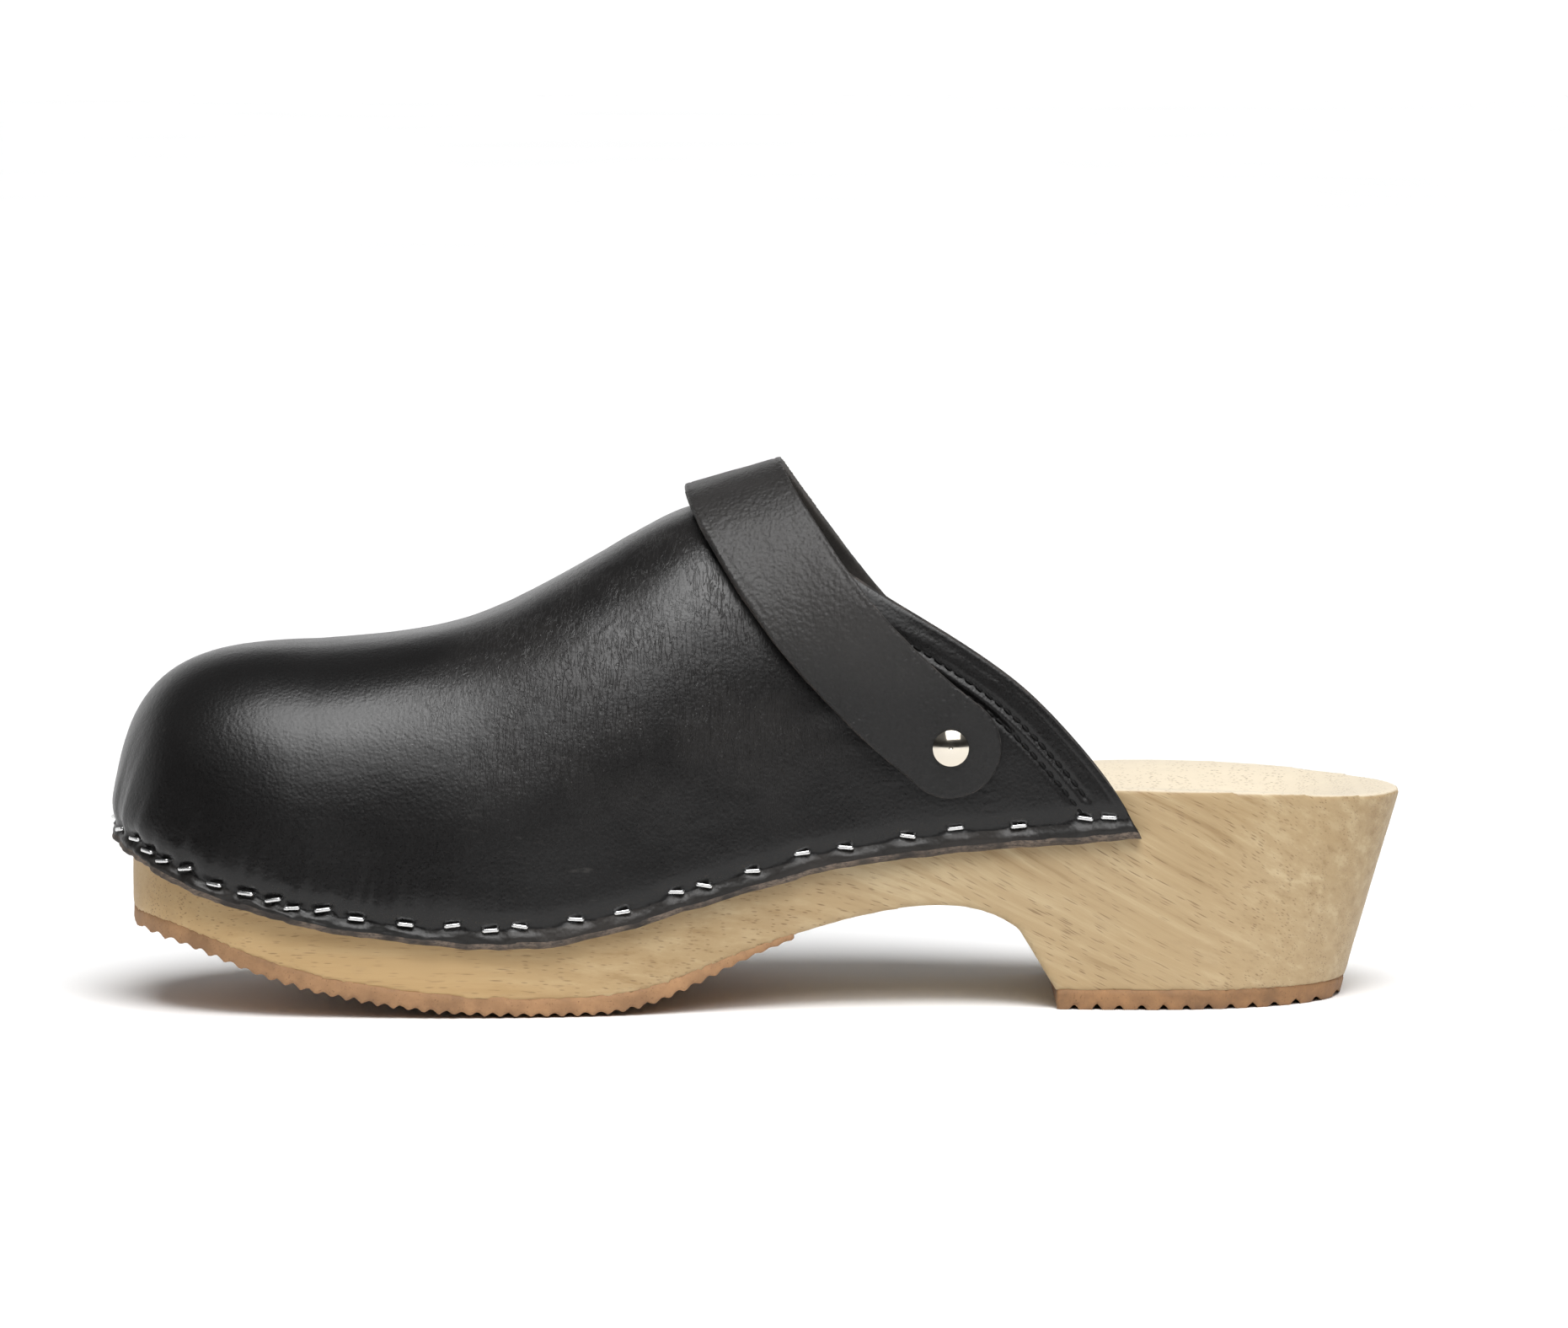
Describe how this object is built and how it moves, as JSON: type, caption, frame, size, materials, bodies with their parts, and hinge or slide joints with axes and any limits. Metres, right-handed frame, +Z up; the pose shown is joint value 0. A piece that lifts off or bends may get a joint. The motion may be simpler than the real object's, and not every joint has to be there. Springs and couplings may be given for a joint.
{
  "type": "wooden clog",
  "caption": "Right-foot slip-on clog: carved wooden sole with rubber treads, stapled leather upper and a riveted leather strap that swings from the instep to behind the heel.",
  "frame": {"origin": "on the floor under the middle of the clog's bounding box", "axes": "toe towards -X, heel towards +X, inner (medial) side towards -Y, +Z up"},
  "size_m": [0.2571, 0.0948, 0.1071],
  "materials": {
    "sole_wood": "satin, fine short pores, hand-finished edges",
    "gum_rubber": "matte gum rubber",
    "vamp_leather": "smooth, semi-gloss",
    "strap_leather": "fine grain, semi-gloss, burnished edges",
    "stiffener": "matte",
    "facing_tape": "woven tape",
    "thread": "waxed",
    "nickel": "polished",
    "staple_wire": "bright zinc"
  },
  "bodies": {
    "clog": {"wooden_sole": "sole_wood", "forepart_outsole": "gum_rubber", "heel_outsole": "gum_rubber", "vamp": "vamp_leather", "toe_puff": "stiffener", "topline_facing": "facing_tape", "topline_thread_outer": "thread", "topline_thread_inner": "thread", "strap_rivet_cap_medial": "nickel", "strap_rivet_cap_lateral": "nickel", "strap_rivet_post_medial": "nickel", "strap_rivet_post_lateral": "nickel", "staples_medial": "staple_wire", "staples_toe": "staple_wire", "staples_lateral": "staple_wire"},
    "strap": {"instep_strap": "strap_leather"}
  },
  "joints": [
    {"name": "strap_swing", "type": "hinge", "parent": "clog", "child": "strap", "pos_m": [0.0375, 0, 0.0523], "axis": [0, 1, 0], "range_deg": [0, 114]}
  ]
}
